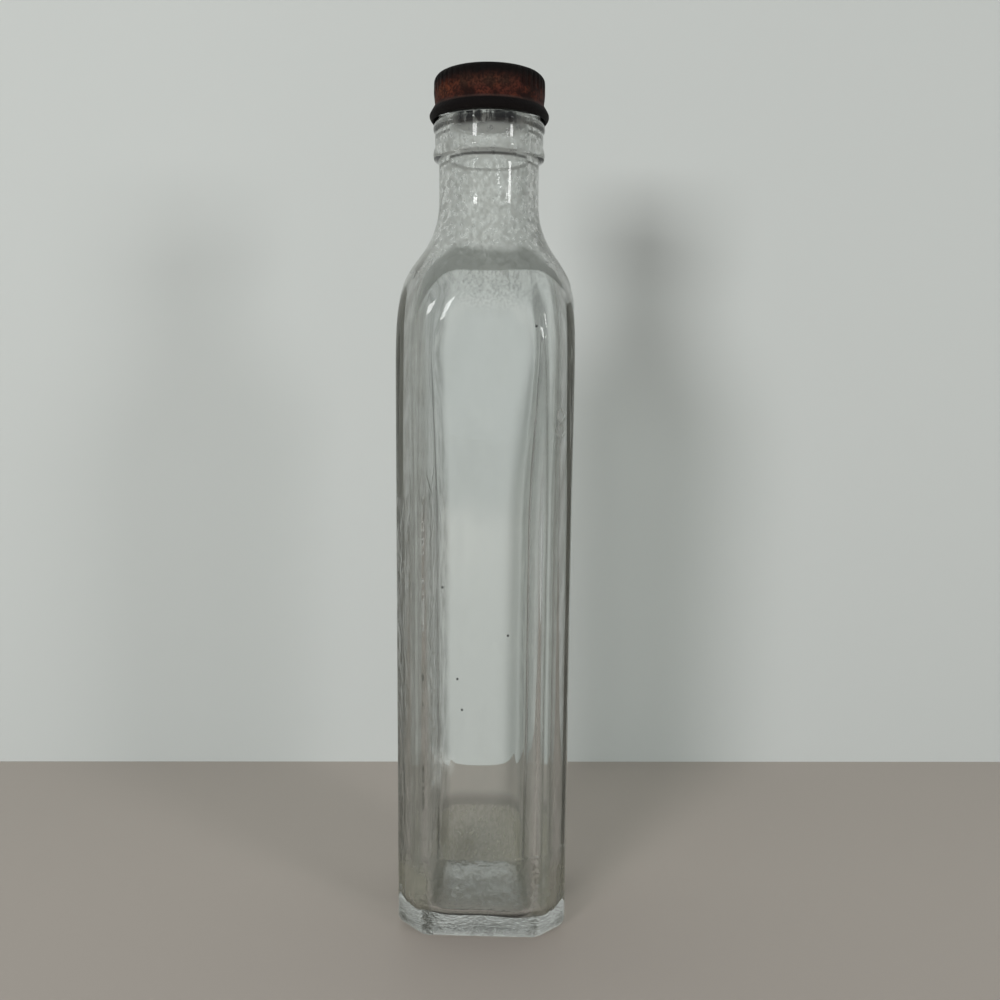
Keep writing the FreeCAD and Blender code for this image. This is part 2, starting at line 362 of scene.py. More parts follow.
def inner_distance(angle, height):
    """Distance from the axis to the inside of the glass, above the inner heel."""
    face = blend(half_width(height), shoulder_radius(height)) - WALL
    corner = RIGHT_CORNER if math.cos(angle) > 0 else LEFT_CORNER
    corner += (HIGH_CORNER - corner) * smooth_step(*CORNER_CHANGE, height)
    roundest = NEARLY_ROUND * face
    corner += (roundest - corner) * smooth_step(SHOULDER_START, ROUND_FROM, height)
    corner = min(corner, roundest)
    bevel = math.sqrt(2) * (face - corner) + corner
    reach = outline_distance(angle, face, bevel, corner)
    return reach + (MOUTH_RADIUS - reach) * smooth_step(*BORE_RANGE, height)


# %% [markdown]
# ## A bottom that is thicker behind
# The hot glass settled to one side, so the floor inside curves up to the back wall. It is flat
# in front, apart from a slight dip at the right. In the mesh, every inner vertex that would lie
# behind the curve is drawn forward to it. A soft minimum of two distances does this without a
# crease.

# %% The slope of the floor
FLOOR_HEIGHT = 4.5
INNER_HEEL = 4.0
SLOPE_CENTRE = (-3.5, 21.5)
SLOPE_RADIUS = 23.3
SLOPE_SOFTNESS = 1.2
SLOPE_TOP = 24.0
FLOOR_DIP = 1.4
DIP_TOP = 16.0
DIP_NEAR, DIP_FAR = 2.0, 15.0


def soft_minimum(first, second, softness):
    """The smaller of two values, with a smooth change where they are close."""
    share = min(max(0.5 + (second - first) / (2 * softness), 0.0), 1.0)
    return second + (first - second) * share - softness * share * (1 - share)


def settled(point):
    """The same point, lower where the floor dips at the right in front."""
    share = smooth_step(DIP_NEAR, DIP_FAR, point.x) * smooth_step(DIP_NEAR, -DIP_FAR, point.y)
    return point - Vector((0, 0, FLOOR_DIP * share * smooth_step(DIP_TOP, INNER_HEEL, point.z)))


def inside_ring(height, inset=0.0, depth=0.0):
    """A ring of the inside; inset draws it inwards for the heel, depth puts it into the glass."""
    def place(angle):
        reach = inner_distance(angle, height) - inset + depth
        point = at_angle(reach, angle, height)
        point *= 1 + RIPPLE * noise.noise(point * RIPPLE_SCALE) / reach
        if height < SLOPE_TOP:
            drop = min(SLOPE_CENTRE[1] - height, SLOPE_RADIUS)
            limit = SLOPE_CENTRE[0] + math.sqrt(SLOPE_RADIUS**2 - max(drop, 0.0) ** 2) + depth
            point.y = soft_minimum(point.y, limit + max(-drop, 0.0), SLOPE_SOFTNESS)
        return settled(point)
    return place


# %% [markdown]
# ## Rings from the base to the floor inside
# The mesh is one chain of rings. It starts under the base, where a shallow dome keeps the
# bottle from rocking, turns round the heel, climbs the walls, shoulder, neck, collar and lip,
# and comes down inside to the floor. The rings lie close together where the relief and the
# collar need them.

# %% Places of the rings
PUSH_UP_DEPTH = 0.8
PUSH_UP_RADIUS = 15.0
HEEL_RISE, HEEL_REACH, HEEL_CORNER = 3.0, 2.0, 6.0
HEEL_STEPS = 8
DOME_SHARES = (0.15, 0.35, 0.55, 0.75, 0.9, 1.0)
INNER_HEEL_STEPS = 10
LIP_ROUND = 0.6
MARKS_LOW, MARKS_HIGH = MARK_HEIGHTS[0] - 2, MARK_HEIGHTS[1] + 2
WALL_STRETCHES = (
    (HEEL_RISE, ORNAMENT_BOTTOM, 4.0),
    (ORNAMENT_BOTTOM, ORNAMENT_TOP, 0.45),
    (ORNAMENT_TOP, MARKS_LOW, 4.0),
    (MARKS_LOW, MARKS_HIGH, 0.35),
    (MARKS_HIGH, SHOULDER_START, 3.0),
    (SHOULDER_START, NECK_START, 1.4),
)


def spaced(low, high, step):
    """Evenly spaced heights from low towards high, without high itself."""
    count = max(round(abs(high - low) / step), 1)
    return [low + (high - low) * index / count for index in range(count)]


def wall_ring(height):
    """A ring of the outside, with the raised shapes."""
    def place(angle):
        reach = outer_distance(angle, height)
        return at_angle(reach, angle, height) + raised(angle, height, reach)
    return place


def heel_ring(share):
    """A ring of the heel, where the outline shrinks along a quarter ellipse to the ground.

    The share goes from 0 at the ground to 1 where the heel meets the wall.
    """
    face = half_width(HEEL_RISE)
    lowness = 1 - math.sin(share * math.pi / 2)
    shrink = 1 - lowness * HEEL_REACH / face
    corner = CORNER_RADIUS * shrink
    corner += (HEEL_CORNER - corner) * lowness
    height = HEEL_RISE * (1 - math.cos(share * math.pi / 2))
    form = (face * shrink, bevel_distance(face) * shrink, corner)
    return level_ring(lambda angle: outline_distance(angle, *form), height)


def underside_rings():
    """From the middle of the dome out to the flat that the bottle stands on."""
    for share in DOME_SHARES:
        yield round_ring(share * PUSH_UP_RADIUS, PUSH_UP_DEPTH * (1 - share**2))


def outside_rings():
    """Heel, walls and shoulder, up to the neck."""
    for step in range(HEEL_STEPS):
        yield heel_ring(step / HEEL_STEPS)
    for stretch in WALL_STRETCHES:
        for height in spaced(*stretch):
            yield wall_ring(height)


# %% [markdown]
# ## Collar, finish and lip
# Above the neck everything is round. The collar is a band with a ridge along each edge, which
# a capping machine once held the bottle by. The cap hides the finish above it, so the finish
# is plain.

# %% Rings of the mouth
RIDGES = ((COLLAR_BOTTOM, 204.9), (208.5, 211.1))
COLLAR_TOP = RIDGES[1][1]
RIDGE_SWELL = 0.45
EDGE_SOFTNESS = 0.5
LIP_STEPS = 4


def mouth_reach(height):
    """Outer radius above the neck: neck, collar with its two ridges, and finish."""
    collar_share = smooth_step(COLLAR_BOTTOM, COLLAR_BOTTOM + EDGE_SOFTNESS, height)
    reach = NECK_RADIUS + (COLLAR_RADIUS - NECK_RADIUS) * collar_share
    for low, high in RIDGES:
        offset = (2 * height - low - high) / (high - low)
        reach += RIDGE_SWELL * max(1 - offset**2, 0.0)
    finish_share = smooth_step(COLLAR_TOP - EDGE_SOFTNESS / 2, COLLAR_TOP + EDGE_SOFTNESS, height)
    return reach + (FINISH_RADIUS - reach) * finish_share


def mouth_rings():
    """Outside of the neck, collar, finish and lip, then the bore inside."""
    heights = spaced(NECK_START, COLLAR_BOTTOM, 2.2)
    heights += spaced(COLLAR_BOTTOM, COLLAR_TOP + EDGE_SOFTNESS, 0.25)
    heights += spaced(COLLAR_TOP + EDGE_SOFTNESS, lip_height - LIP_ROUND, 3.0)
    for height in heights:
        yield round_ring(mouth_reach(height), height)
    for start, sign in ((FINISH_RADIUS - LIP_ROUND, 1), (MOUTH_RADIUS + LIP_ROUND, -1)):
        for step in range(LIP_STEPS + 1):
            turn = math.pi / 2 * (step if sign > 0 else LIP_STEPS - step) / LIP_STEPS
            rise = LIP_ROUND * (1 - math.sin(turn))
            reach = start + sign * LIP_ROUND * math.cos(turn)
            yield round_ring(reach, lip_height - rise)


def inside_heights():
    """Heights of the inner skin's rings, from under the lip down to where the slope begins."""
    heights = spaced(lip_height - 2, NECK_START, 3.0)
    heights += spaced(NECK_START, SHOULDER_START, 1.5)
    return heights + spaced(SHOULDER_START, SLOPE_TOP, 3.5) + [SLOPE_TOP]


def inside_rings(depth=0.0):
    """The inside, from under the lip down to the floor; depth puts it into the glass."""
    for height in inside_heights() + spaced(SLOPE_TOP, FLOOR_HEIGHT + INNER_HEEL, 0.8)[1:]:
        yield inside_ring(height, 0.0, depth)
    radius = INNER_HEEL + depth
    for step in range(INNER_HEEL_STEPS, -1, -1):
        turn = math.pi / 2 * step / INNER_HEEL_STEPS
        height = FLOOR_HEIGHT + INNER_HEEL - radius * math.cos(turn)
        yield inside_ring(height, INNER_HEEL + depth - radius * math.sin(turn), depth)
    flat = half_width(FLOOR_HEIGHT) - WALL - INNER_HEEL
    for share in (0.75, 0.5, 0.25):
        plain = round_ring(share * flat, FLOOR_HEIGHT - depth)
        yield lambda angle, plain=plain: settled(plain(angle))


# %% Build the bottle
def build_bottle():
    mesh = bmesh.new()
    rings = [*underside_rings(), *outside_rings(), *mouth_rings(), *inside_rings()]
    first = begin_ring(mesh, rings[0])
    close_ring(mesh, first, Vector((0, 0, PUSH_UP_DEPTH)))
    edges = first
    for place in rings[1:]:
        edges = grow_ring(mesh, edges, place)
    close_ring(mesh, edges, Vector((0, 0, FLOOR_HEIGHT)))
    return make_object("bottle_glass", mesh)


bottle_glass = build_bottle()
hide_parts("bottle")
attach(bottle_glass, "root")

# %% [markdown]
# ## Dust and painted shade on the inside
# Years of standing have left a film of grey dust inside, thickest in the neck and shoulder. It
# sticks to the glass, so it shows even where the glass acts as a mirror. The film is a skin
# of its own, a twentieth of a millimetre deep in the glass, and its material is mostly
# transparent: dust shows only where the masks say so. The same film also carries painted
# shade: a dark band along the arch at the top of the front, part of the grey down the side
# walls, and a dark line where the floor meets the front wall.

# %% Build the film of dust and painted shade
FILM_DEPTH = 0.05


def build_film():
    mesh = bmesh.new()
    rings = list(inside_rings(FILM_DEPTH))
    edges = begin_ring(mesh, rings[0])
    for place in rings[1:]:
        edges = grow_ring(mesh, edges, place)
    close_ring(mesh, edges, Vector((0, 0, FLOOR_HEIGHT - FILM_DEPTH)))
    return make_object("inner_dust_and_shade", mesh)


inner_dust_and_shade = build_film()
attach(inner_dust_and_shade, "root")

# %% [markdown]
# ## The screw cap
# The cap is thin pressed metal: a flat top with a rounded edge, a band of short flutes for the
# fingers, a slight waist, and a rolled bead at the foot. Its section is drawn once and spun
# about the axis. Spinning gives even walls and a clean rim, and afterwards the flutes are
# pressed in by moving vertices, as the die does. Old caps are never quite round or flat, so
# small dents come last.

# %% Section of the cap
CAP_SKIN = 0.5
CAP_RADIUS = 14.4
CAP_EDGE = 1.9
BAND_FOOT = 218.2
WAIST = (14.15, 215.6)
BEAD_TOP = (15.3, 213.6)
BEAD_FOOT = (14.9, cap_low)
BEAD_SWELL = 0.4
BEAD_INNER_RADIUS = 14.5
ARC_STEPS = 6


def arc_points(centre, radius, start, end, steps):
    """Points of an arc in the (radius, height) section, angles in degrees."""
    turns = [math.radians(start + (end - start) * step / steps) for step in range(steps + 1)]
    return [(centre[0] + radius * math.cos(t), centre[1] + radius * math.sin(t)) for t in turns]


def between(start, end, steps, swell=0.0):
    """Points from start towards end, without end; swell bends the line outwards."""
    points = []
    for step in range(steps):
        share = step / steps
        reach, height = (low + (high - low) * share for low, high in zip(start, end))
        points.append((reach + swell * (1 - (2 * share - 1) ** 2), height))
    return points


def along(points, steps):
    """Points along a line with corners, without its last corner."""
    rows = zip(points, points[1:], steps)
    return [point for start, end, count in rows for point in between(start, end, count)]


def cap_section():
    """The cap's wall, as one closed line from the middle of the top and back to it underneath."""
    centre = (CAP_RADIUS - CAP_EDGE, cap_high - CAP_EDGE)
    inner = CAP_RADIUS - CAP_SKIN
    outside = between((0.0, cap_high), (centre[0], cap_high), 14)
    outside += arc_points(centre, CAP_EDGE, 90, 0, ARC_STEPS)[:-1]
    skirt = ((CAP_RADIUS, centre[1]), (CAP_RADIUS, BAND_FOOT), WAIST, BEAD_TOP)
    outside += along(skirt, (12, 7, 6))
    outside += between(BEAD_TOP, BEAD_FOOT, 9, BEAD_SWELL)
    inside = along((
        BEAD_FOOT, (BEAD_INNER_RADIUS, cap_low), (WAIST[0] - CAP_SKIN, WAIST[1]),
        (inner, BAND_FOOT), (inner, centre[1]),
    ), (1, 4, 3, 3))
    inside += arc_points(centre, CAP_EDGE - CAP_SKIN, 0, 90, 4)
    return outside + inside + [(0.0, lip_height)]


# %% Spin the cap and press its flutes
SPIN_STEPS = 384
FLUTES = 48
FLUTE_RADIUS = 0.55
FLUTE_DEPTH = 0.25
FLUTE_BOTTOM = 217.6
FLUTE_FADE = 1.0
DENT = 0.12
DENT_SCALE = Vector((0.16, 0.16, 0.25))


def flute_limit(angle):
    """How far out the wall may stand at an angle, where the die presses the flutes in."""
    pitch = math.tau / FLUTES
    aside = CAP_RADIUS * ((angle + pitch / 2) % pitch - pitch / 2)
    if abs(aside) >= FLUTE_RADIUS:
        return CAP_RADIUS * 2
    return CAP_RADIUS + FLUTE_RADIUS - FLUTE_DEPTH - math.sqrt(FLUTE_RADIUS**2 - aside**2)


def build_cap():
    mesh = bmesh.new()
    corners = [mesh.verts.new((radius, 0, height)) for radius, height in cap_section()]
    line = [mesh.edges.new(pair) for pair in zip(corners, corners[1:])]
    bmesh.ops.spin(
        mesh, geom=corners + line, cent=(0, 0, 0), axis=(0, 0, 1), dvec=(0, 0, 0),
        angle=math.tau, steps=SPIN_STEPS, use_merge=True,
    )
    bmesh.ops.remove_doubles(mesh, verts=mesh.verts, dist=0.0005)
    for vertex in mesh.verts:
        reach = math.hypot(vertex.co.x, vertex.co.y)
        angle = math.atan2(vertex.co.y, vertex.co.x)
        outside = reach > CAP_RADIUS - CAP_SKIN / 2 or vertex.co.z > lip_height + CAP_SKIN / 2
        pressed = outside * smooth_step(FLUTE_BOTTOM, FLUTE_BOTTOM + FLUTE_FADE, vertex.co.z)
        if reach > 0:
            new_reach = reach + (min(reach, flute_limit(angle)) - reach) * pressed
            new_reach -= DENT * abs(noise.noise(vertex.co * DENT_SCALE)) * (reach / CAP_RADIUS)
            vertex.co.xy *= new_reach / reach
    return make_object("cap_metal", mesh)


cap_metal = build_cap()
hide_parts("cap")
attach(cap_metal, "root")

# %% [markdown]
# ## Helpers for materials
# A material is a small graph of nodes. These helpers make a material, a node and a node group,
# and mix two colours. What several materials use is a node group, built once: here the clouds
# of noise, cut to a range, that grime and rust share.

# %% Node helpers
MIX_FACTOR, MIX_FIRST, MIX_SECOND, MIX_RESULT = 0, 6, 7, 2


def new_material(name):
    material = bpy.data.materials.new(name)
    material.use_nodes = True
    material.node_tree.nodes.clear()
    return material, material.node_tree


def add_node(tree, kind, inputs=None, **settings):
    """A new node; each input takes a plain value, or a link when it is given a socket."""
    node = tree.nodes.new(kind)
    for key, value in settings.items():
        setattr(node, key, value)
    for key, value in (inputs or {}).items():
        if isinstance(value, bpy.types.NodeSocket):
            tree.links.new(value, node.inputs[key])
        else:
            node.inputs[key].default_value = value
    return node


def show_surface(tree, socket):
    """Makes a shader the surface of its material."""
    add_node(tree, "ShaderNodeOutputMaterial", {"Surface": socket})


def mix_colours(tree, factor, first, second):
    """A colour mix; the sockets for colours have fixed numbers in the node."""
    inputs = {MIX_FACTOR: factor, MIX_FIRST: first, MIX_SECOND: second}
    return add_node(tree, "ShaderNodeMix", inputs, data_type="RGBA").outputs[MIX_RESULT]


def mix_shaders(tree, factor, first, second):
    inputs = {0: factor, 1: first.outputs["BSDF"], 2: second.outputs["BSDF"]}
    return add_node(tree, "ShaderNodeMixShader", inputs).outputs["Shader"]


def new_group(name, inputs, outputs):
    """An empty node group; inputs are (name, socket type, default) rows."""
    group = bpy.data.node_groups.new(name, "ShaderNodeTree")
    for label, kind, default in inputs:
        socket = group.interface.new_socket(name=label, in_out="INPUT", socket_type=kind)
        socket.default_value = default
    for label, kind in outputs:
        group.interface.new_socket(name=label, in_out="OUTPUT", socket_type=kind)
    return group, group.nodes.new("NodeGroupInput"), group.nodes.new("NodeGroupOutput")


def place_group(tree, group, **values):
    node = tree.nodes.new("ShaderNodeGroup")
    node.node_tree = group
    for label, value in values.items():
        node.inputs[label].default_value = value
    return node


# %% The cloud mask
CLOUD_INPUTS = (
    ("Scale", "NodeSocketFloat", 100.0),
    ("Detail", "NodeSocketFloat", 4.0),
    ("From", "NodeSocketFloat", 0.45),
    ("To", "NodeSocketFloat", 0.6),
    ("Stretch", "NodeSocketVector", (1.0, 1.0, 1.0)),
    ("Turn", "NodeSocketVector", (0.0, 0.0, 0.0)),
)


def build_cloud_group():
    """A soft-edged mask of noise on object coordinates.

    From and To are the noise values where the mask starts and is full. Stretch and Turn scale
    and turn the clouds.
    """
    outputs = (("Mask", "NodeSocketFloat"), ("Noise", "NodeSocketFloat"))
    group, given, out = new_group("cloud_mask", CLOUD_INPUTS, outputs)
    given = given.outputs
    mapping = add_node(group, "ShaderNodeMapping", {
        "Vector": add_node(group, "ShaderNodeTexCoord").outputs["Object"],
        "Scale": given["Stretch"], "Rotation": given["Turn"],
    })
    clouds = add_node(group, "ShaderNodeTexNoise", {
        "Vector": mapping.outputs["Vector"], "Scale": given["Scale"], "Detail": given["Detail"],
    }).outputs["Fac"]
    cut = add_node(group, "ShaderNodeMapRange", {
        "Value": clouds, "From Min": given["From"], "From Max": given["To"],
    }, interpolation_type="SMOOTHSTEP")
    group.links.new(cut.outputs["Result"], out.inputs["Mask"])
    group.links.new(clouds, out.inputs["Noise"])
    return group


cloud_mask = build_cloud_group()
print("node groups:", [group.name for group in bpy.data.node_groups])

# %% [markdown]
# ## Arithmetic for masks
# Each layer of grime is a mask: a value from 0 to 1 that depends on the place. A few small
# tools build them all: one arithmetic step, a product of several values, a soft step between
# two values, and a soft box made of such steps. In a product, a mask counts only where every
# other mask counts too.

# %% Tools for masks
def math_node(tree, operation, first, second=0.0):
    """One arithmetic step; each operand may be a socket or a number."""
    return add_node(tree, "ShaderNodeMath", {0: first, 1: second}, operation=operation).outputs[0]


def product(tree, first, *others):
    """All the values multiplied together."""
    for other in others:
        first = math_node(tree, "MULTIPLY", first, other)
    return first


def step_node(tree, value, low, high):
    """0 below low, 1 above high, smooth between; with low above high it falls instead."""
    inputs = {"Value": value, "From Min": low, "From Max": high}
    node = add_node(tree, "ShaderNodeMapRange", inputs, interpolation_type="SMOOTHSTEP")
    return node.outputs["Result"]


def box_mask(tree, sockets, ranges, soft):
    """A soft box: for each socket a (low, high) range, in metres."""
    edges = []
    for socket, (low, high) in zip(sockets, ranges):
        edges.append(step_node(tree, socket, low - soft, low + soft))
        edges.append(step_node(tree, socket, high + soft, high - soft))
    return product(tree, *edges)


def object_axes(tree):
    """The x, y and z of the place on the piece, in metres."""
    place = add_node(tree, "ShaderNodeTexCoord").outputs["Object"]
    return tuple(add_node(tree, "ShaderNodeSeparateXYZ", {0: place}).outputs)


def bump_normal(tree, height, strength, depth):
    """The surface's normal, tilted by a height that counts for depth in metres."""
    inputs = {"Height": height, "Strength": strength, "Distance": depth}
    return add_node(tree, "ShaderNodeBump", inputs).outputs["Normal"]


# %% [markdown]
# ## Clear glass
# Old moulded glass is almost neutral, a touch cool, and very smooth, but its surface rolls
# gently. The left face has slanted tool marks between its raised shapes, and the foot and the
# floor inside are stippled where the glass was handled hot. All of this is one bump height.
# Principled glass with full transmission bends the light. Lamps would cast a hard dark shadow
# through it, so for shadow rays the glass turns into a plain transparent shader, which lets
# most of the light through.

# %% The glass material
GLASS_TINT = (0.965, 0.982, 0.978, 1)
GLASS_SHADOW = (0.78, 0.80, 0.79, 1)
BUMP_DEPTH = 0.0005
SLANT = math.radians(30)
ROLLING = {"Scale": 60.0, "Detail": 1.0}
TOOL_MARKS = {
    "Scale": 420.0, "Detail": 3.0, "From": 0.4, "To": 0.65,
    "Stretch": (1.0, 1.6, 0.35), "Turn": (SLANT, 0.0, 0.0),
}
STIPPLE = {"Scale": 650.0, "Detail": 3.0}
ROLL_SHARE, FLOOR_SHARE = 0.2, 0.35
MARKED_WALL, MARKED_SOFT = ((-0.03, -0.0205), (0.018, 0.115)), 0.0008
FLOOR_BOX, FLOOR_SOFT = ((-0.0195, 0.0195), (-0.0195, 0.0198), (0.0035, 0.021)), 0.0004
FOOT_FADE = (0.0040, 0.0015)


def glass_height(tree):
    """Height of the bumps: rolling everywhere, tool marks on the left, stipple at the bottom."""
    x, y, z = object_axes(tree)
    rolling = place_group(tree, cloud_mask, **ROLLING)
    tool_marks = place_group(tree, cloud_mask, **TOOL_MARKS)
    stipple = place_group(tree, cloud_mask, **STIPPLE)
    marked = box_mask(tree, (x, z), MARKED_WALL, MARKED_SOFT)
    floor_part = product(tree, box_mask(tree, (x, y, z), FLOOR_BOX, FLOOR_SOFT), FLOOR_SHARE)
    stippled = math_node(tree, "MAXIMUM", step_node(tree, z, *FOOT_FADE), floor_part)
    height = product(tree, rolling.outputs["Noise"], ROLL_SHARE)
    for bumps, mask in ((tool_marks.outputs["Mask"], marked), (stipple.outputs["Noise"], stippled)):
        height = math_node(tree, "ADD", height, product(tree, bumps, mask))
    return height


def build_glass():
    material, tree = new_material("old_clear_glass")
    shader = add_node(tree, "ShaderNodeBsdfPrincipled", {
        "Base Color": GLASS_TINT, "Metallic": 0.0, "Roughness": 0.0, "IOR": 1.5,
        "Transmission Weight": 1.0,
        "Normal": bump_normal(tree, glass_height(tree), 1.0, BUMP_DEPTH),
    })
    clear = add_node(tree, "ShaderNodeBsdfTransparent", {"Color": GLASS_SHADOW})
    shadow_ray = add_node(tree, "ShaderNodeLightPath").outputs["Is Shadow Ray"]
    show_surface(tree, mix_shaders(tree, shadow_ray, shader, clear))
    return material


bottle_glass.data.materials.append(build_glass())

# %% [markdown]
# ## The film of dust and painted shade
# Dust, stains and painted shade lie in layers: grey streaks down the side walls, partly dust and
# partly painted shade, a pale haze in the neck with darker runs in it, a sandy grey on the slope
# at the bottom with a darker line above it, a band of painted shade along the arched top of the
# front, a speckled patch under the band, a pale smear low on the left, a black blotchy band in
# the bore under the cap, and a few specks. Each layer is a colour and a mask. First come the
# colours, and the clouds of noise that several layers share.

# %% Colours and clouds of the dust and painted shade
DUST_PALE = (0.80, 0.81, 0.77, 1)
# grey of the side walls: dust, and painted shade for the darker room these walls bend into view
GREY_DUST_AND_SHADE = (0.26, 0.255, 0.22, 1)
SANDY_GREY = (0.42, 0.40, 0.31, 1)
DUST_DARK = (0.10, 0.10, 0.085, 1)
# painted shade: the colour of the dark band along the arch at the top of the front
PAINTED_SHADE_BAND = (0.20, 0.21, 0.19, 1)
# black of the blotches, the collar line and the specks, and painted shade in the floor's front
# corner
BLACK_DUST_AND_SHADE = (0.010, 0.010, 0.012, 1)
DUST_CLOUDS = {
    "mottle": {"Scale": 900.0, "Detail": 6.0, "From": 0.42, "To": 0.66, "Stretch": (1, 1, 0.65)},
    "speckle": {"Scale": 1500.0, "Detail": 5.0, "From": 0.42, "To": 0.62},
    "smudge": {"Scale": 110.0, "Detail": 5.0, "From": 0.45, "To": 0.7, "Stretch": (1, 1, 0.5)},
    "wave": {"Scale": 90.0, "Detail": 2.0, "From": 0.3, "To": 0.7},
    "streaky": {
        "Scale": 380.0, "Detail": 4.0, "Stretch": (1.0, 1.6, 0.4), "Turn": (SLANT, 0.0, 0.0),
    },
}


def dust_clouds(tree):
    """The shared clouds: for each name, its mask and its plain noise."""
    placed = {name: place_group(tree, cloud_mask, **values) for name, values in DUST_CLOUDS.items()}
    return {name: (node.outputs["Mask"], node.outputs["Noise"]) for name, node in placed.items()}


# %% [markdown]
# ## Layers of the walls, the neck and the floor
# These layers follow the height and the side. Dust clings where the air is still, so it is
# thick in the neck and down the side walls, where the grey is partly painted shade for the darker
# room that these walls bend into view. On the bottom a sandy grey lies mostly on the slope behind
# and low in the corners, with a darker line above it.

# %% Layers that follow the height and the side
FAINT_AMOUNT = 0.06
LEFT_WALL, RIGHT_WALL = (-0.0125, -0.0160), (0.0140, 0.0170)
RIGHT_SHARE, SIDE_AMOUNT = 0.75, 0.75
NECK_FADES = ((0.165, 0.180), (0.2125, 0.2095))
PALE_AMOUNT, RUN_AMOUNT = 0.7, 0.34
SLOPE_FADE, SLOPE_GREY_TOP, SLOPE_GREY_AMOUNT = (0.0125, 0.0135), (0.0195, 0.0188), 0.75
BACK_LINE_FADES, BACK_LINE_SIDE, BACK_LINE_AMOUNT = ((0.0189, 0.0194), (0.0245, 0.0205)), (0.012, 0.015), 0.4
FLANK_RANGE, FLANK_SOFT, FLANK_SIDE, FLANK_AMOUNT = (-0.01, 0.017), 0.003, (0.0125, 0.0150), 0.6


def side_dust_and_shade_layers(tree, axes, clouds):
    """A faint film everywhere, and grey streaks of dust and painted shade down the left and right
    walls.
    """
    x = axes[0]
    right = product(tree, step_node(tree, x, *RIGHT_WALL), RIGHT_SHARE)
    sides = math_node(tree, "MAXIMUM", step_node(tree, x, *LEFT_WALL), right)
    # partly dust, partly painted shade: the side walls darkened where they bend the darker room
    # into view
    streaks = product(tree, sides, clouds["streaky"][1], SIDE_AMOUNT)
    return [(DUST_PALE, product(tree, clouds["smudge"][0], FAINT_AMOUNT)), (GREY_DUST_AND_SHADE, streaks)]


def neck_layers(tree, axes, clouds):
    """A pale haze in the neck, and darker runs in it."""
    haze = product(tree, *(step_node(tree, axes[2], *fade) for fade in NECK_FADES))
    mask, plain = clouds["mottle"]
    return [
        (DUST_PALE, product(tree, haze, plain, PALE_AMOUNT)),
        (DUST_DARK, product(tree, haze, mask, RUN_AMOUNT)),
    ]


def floor_layers(tree, axes, clouds):
    """A darker line behind, a sandy grey on the slope behind, and sand low at both sides."""
    x, y, z = axes
    back_line = product(tree, *(step_node(tree, z, *fade) for fade in BACK_LINE_FADES))
    back_line = product(tree, back_line, step_node(tree, y, *BACK_LINE_SIDE), BACK_LINE_AMOUNT)
    slope_grey = product(tree, step_node(tree, y, *SLOPE_FADE), step_node(tree, z, *SLOPE_GREY_TOP))
    slope_grey = product(tree, slope_grey, clouds["mottle"][1], SLOPE_GREY_AMOUNT)
    beside = step_node(tree, math_node(tree, "ABSOLUTE", x), *FLANK_SIDE)
    flanks = product(tree, box_mask(tree, (z,), (FLANK_RANGE,), FLANK_SOFT), beside)
    flanks = product(tree, flanks, clouds["streaky"][1], FLANK_AMOUNT)
    return [(DUST_DARK, back_line), (SANDY_GREY, slope_grey), (SANDY_GREY, flanks)]


# %% [markdown]
# ## Painted shade at the shoulder
# The band is painted shade: it darkens the film where the curved shoulder bends the dark room
# into view. It follows the arch at the top of the front face. Its lower edge is sharp: flat in the
# middle, and falling away at both ends along a quarter of an ellipse. Its upper edge is soft
# and wavy. The height above the lower edge is worked out first, and both edges are steps in it.

# %% The band of painted shade along the arch
BAND_FOOT_HEIGHT = 0.1715
ARCH_MIDDLE, ARCH_FLAT, ARCH_REACH, ARCH_DROP = 0.0026, 0.0085, 0.0105, 0.018
BAND_FOOT_FADE, BAND_TOP_FADE, BAND_END_FADE = (-0.0003, 0.0003), (0.0040, 0.0015), (0.0215, 0.0150)
BAND_WAVES = -0.006
SMOKE_SHARE = 0.5


def painted_shade_band_layer(tree, axes, clouds, front):
    """The band of painted shade, on the front only."""
    x, y, z = axes
    aside = math_node(tree, "ABSOLUTE", math_node(tree, "SUBTRACT", x, ARCH_MIDDLE))
    along = math_node(tree, "DIVIDE", math_node(tree, "SUBTRACT", aside, ARCH_FLAT), ARCH_REACH)
    along = math_node(tree, "MINIMUM", math_node(tree, "MAXIMUM", along, 0.0), 1.0)
    circle = math_node(tree, "SQRT", math_node(tree, "SUBTRACT", 1.0, product(tree, along, along)))
    droop = product(tree, math_node(tree, "SUBTRACT", 1.0, circle), ARCH_DROP)
    above = math_node(tree, "SUBTRACT", math_node(tree, "ADD", z, droop), BAND_FOOT_HEIGHT)
    top = math_node(tree, "ADD", above, product(tree, clouds["wave"][1], BAND_WAVES))
    band_mottle = product(tree, clouds["mottle"][1], SMOKE_SHARE)
    band_mottle = math_node(tree, "ADD", band_mottle, 1 - SMOKE_SHARE)
    # painted shade: the band darkens the film where the shoulder bends the dark room into view
    shade_band = product(
        tree, step_node(tree, above, *BAND_FOOT_FADE), step_node(tree, top, *BAND_TOP_FADE),
        front, step_node(tree, aside, *BAND_END_FADE), band_mottle,
    )
    return [(PAINTED_SHADE_BAND, shade_band)]


# %% [markdown]
# ## Marks on the front
# The rest lies on the front wall, each in a soft box of its own: the patch, the smear, a black
# blotchy band in the bore under the cap, a dark line under the collar, another where the floor
# meets the front wall, which is painted shade in that inner corner, and the specks.

# %% Layers of the front
FRONT_WALL = (-0.03, -0.018)
PATCH_BOX, PATCH_SOFT = ((-0.006, 0.011), FRONT_WALL, (0.1655, 0.1705)), 0.006
SMEAR_BOX, SMEAR_SOFT = ((-0.012, 0.000), FRONT_WALL, (0.041, 0.050)), 0.003
PATCH_AMOUNT, SMEAR_AMOUNT = 0.5, 0.8
